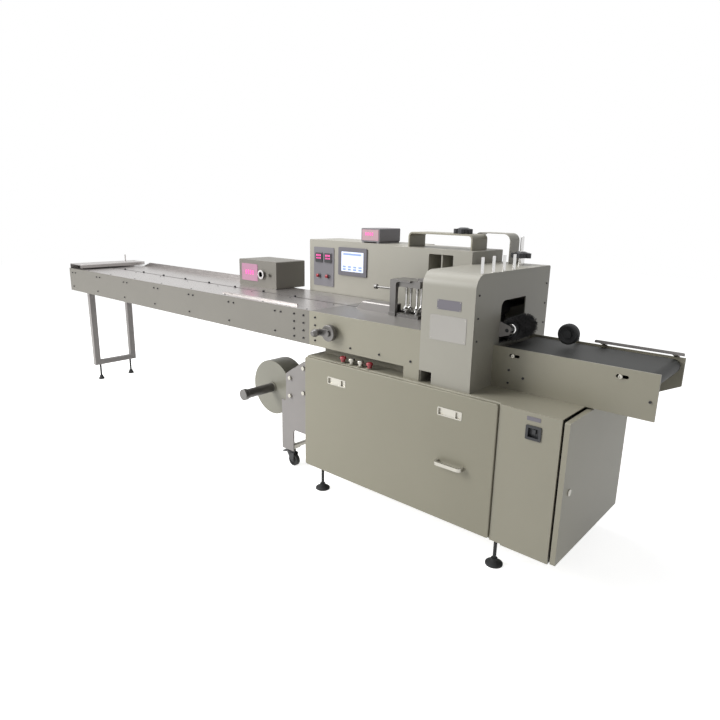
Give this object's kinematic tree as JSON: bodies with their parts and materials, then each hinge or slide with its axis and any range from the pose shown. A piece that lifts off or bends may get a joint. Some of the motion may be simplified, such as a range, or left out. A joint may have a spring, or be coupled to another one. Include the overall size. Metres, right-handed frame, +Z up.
{
  "type": "horizontal flow wrapper",
  "caption": "Horizontal flow wrapping machine: long lug-chain infeed, wrapping head with fin-seal unit, end sealer in a bent housing, short discharge belt, film reel below.",
  "frame": {"origin": "middle of the machine's length and depth, on the floor", "axes": "+X along the line from infeed to discharge, -Y towards the operator, +Z up"},
  "size_m": [4.636, 0.9686, 1.4633],
  "materials": {
    "cream_paint": "satin",
    "dark_steel": "satin",
    "stainless": "brushed",
    "grey_casting": "matt",
    "bright_chrome": "polished",
    "black_plastic": "matt",
    "black_rubber": "matt",
    "red_plastic": "gloss",
    "roll_film": "satin",
    "zinc_steel": "satin",
    "screen_glass": "gloss"
  },
  "bodies": {
    "machine": {"base_cabinet": "cream_paint", "control_cabinet": "cream_paint", "counter_box": "cream_paint", "cover_fittings": "zinc_steel", "discharge_bed": "stainless", "discharge_belt": "black_rubber", "discharge_brackets": "grey_casting", "discharge_plates": "cream_paint", "discharge_rail": "stainless", "discharge_rollers": "dark_steel", "drive_housing": "cream_paint", "electrical_cabinet": "cream_paint", "electrical_devices": "cream_paint", "film_carrier_plates": "grey_casting", "film_guide_rollers": "zinc_steel", "fin_seal_frame": "dark_steel", "fin_seal_wheels": "dark_steel", "former": "stainless", "front_cover": "cream_paint", "head_deck": "stainless", "head_pedestal": "cream_paint", "head_plates": "cream_paint", "hinge_pins": "zinc_steel", "hood_posts": "bright_chrome", "infeed_chain": "dark_steel", "infeed_control_box": "stainless", "infeed_deck": "stainless", "infeed_end_cover": "stainless", "infeed_guides": "stainless", "infeed_leg_frame": "grey_casting", "infeed_plates": "stainless", "instrument_panel": "screen_glass", "knob_bridge": "cream_paint", "levelling_feet": "black_rubber", "main_switch": "black_plastic", "rear_top_cover": "cream_paint", "reel_stand_plates": "grey_casting", "reel_stand_ties": "zinc_steel", "sealer_end_plates": "cream_paint", "sealer_hood": "cream_paint", "sealing_jaws": "dark_steel", "touch_screen": "screen_glass"},
    "door": {"end_door": "cream_paint", "door_lock": "zinc_steel", "hinge_knuckles": "zinc_steel"},
    "reel": {"film_reel": "roll_film", "reel_spindle": "dark_steel"},
    "wheel": {"handwheel": "bright_chrome"},
    "brush": {"outlet_brush": "black_plastic"},
    "press": {"press_wheel": "black_rubber"},
    "post_knob": {"post_knob": "black_plastic"},
    "bridge_knob": {"bridge_knob": "black_plastic"},
    "fork_front": {"castor_fork_front": "black_plastic"},
    "fork_rear": {"castor_fork_rear": "black_plastic"},
    "roller_front": {"castor_wheel_front": "black_plastic"},
    "roller_rear": {"castor_wheel_rear": "black_plastic"},
    "button_1": {"push_button_1": "red_plastic"},
    "button_2": {"push_button_2": "zinc_steel"},
    "button_3": {"push_button_3": "zinc_steel"},
    "button_4": {"push_button_4": "red_plastic"}
  },
  "joints": [
    {"name": "end_door_hinge", "type": "hinge", "parent": "machine", "child": "door", "pos_m": [2.07, 0.3293, 0.45], "axis": [0, 0, 1], "range_deg": [0, 110]},
    {"name": "reel_spin", "type": "hinge", "parent": "machine", "child": "reel", "pos_m": [0.041, -0.1657, 0.415], "axis": [0, 1, 0], "continuous": true},
    {"name": "handwheel_turn", "type": "hinge", "parent": "machine", "child": "wheel", "pos_m": [0.785, -0.3817, 0.921], "axis": [0, 1, 0], "continuous": true},
    {"name": "brush_spin", "type": "hinge", "parent": "machine", "child": "brush", "pos_m": [1.651, -0.1257, 1.027], "axis": [0, 1, 0], "continuous": true},
    {"name": "press_wheel_spin", "type": "hinge", "parent": "machine", "child": "press", "pos_m": [1.866, 0.0243, 1.018], "axis": [0, 1, 0], "continuous": true},
    {"name": "post_knob_turn", "type": "hinge", "parent": "machine", "child": "post_knob", "pos_m": [1.501, 0.2343, 1.324], "axis": [0, 0, 1], "continuous": true},
    {"name": "bridge_knob_turn", "type": "hinge", "parent": "machine", "child": "bridge_knob", "pos_m": [1.204, 0.1593, 1.456], "axis": [0, 0, 1], "continuous": true},
    {"name": "castor_front_swivel", "type": "hinge", "parent": "machine", "child": "fork_front", "pos_m": [0.33, -0.2657, 0.1], "axis": [0, 0, 1], "continuous": true},
    {"name": "castor_front_roll", "type": "hinge", "parent": "fork_front", "child": "roller_front", "pos_m": [0.354, -0.2657, 0.038], "axis": [0, 1, 0], "continuous": true},
    {"name": "castor_rear_swivel", "type": "hinge", "parent": "machine", "child": "fork_rear", "pos_m": [0.33, -0.0057, 0.1], "axis": [0, 0, 1], "continuous": true},
    {"name": "castor_rear_roll", "type": "hinge", "parent": "fork_rear", "child": "roller_rear", "pos_m": [0.354, -0.0057, 0.038], "axis": [0, 1, 0], "continuous": true},
    {"name": "button_1_press", "type": "slide", "parent": "machine", "child": "button_1", "axis": [0, 0, -1], "range_m": [0, 0.004], "stiffness_N_per_m": 400, "springref_m": -0.002},
    {"name": "button_2_press", "type": "slide", "parent": "machine", "child": "button_2", "axis": [0, 0, -1], "range_m": [0, 0.004], "stiffness_N_per_m": 400, "springref_m": -0.002},
    {"name": "button_3_press", "type": "slide", "parent": "machine", "child": "button_3", "axis": [0, 0, -1], "range_m": [0, 0.004], "stiffness_N_per_m": 400, "springref_m": -0.002},
    {"name": "button_4_press", "type": "slide", "parent": "machine", "child": "button_4", "axis": [0, 0, -1], "range_m": [0, 0.004], "stiffness_N_per_m": 400, "springref_m": -0.002}
  ]
}
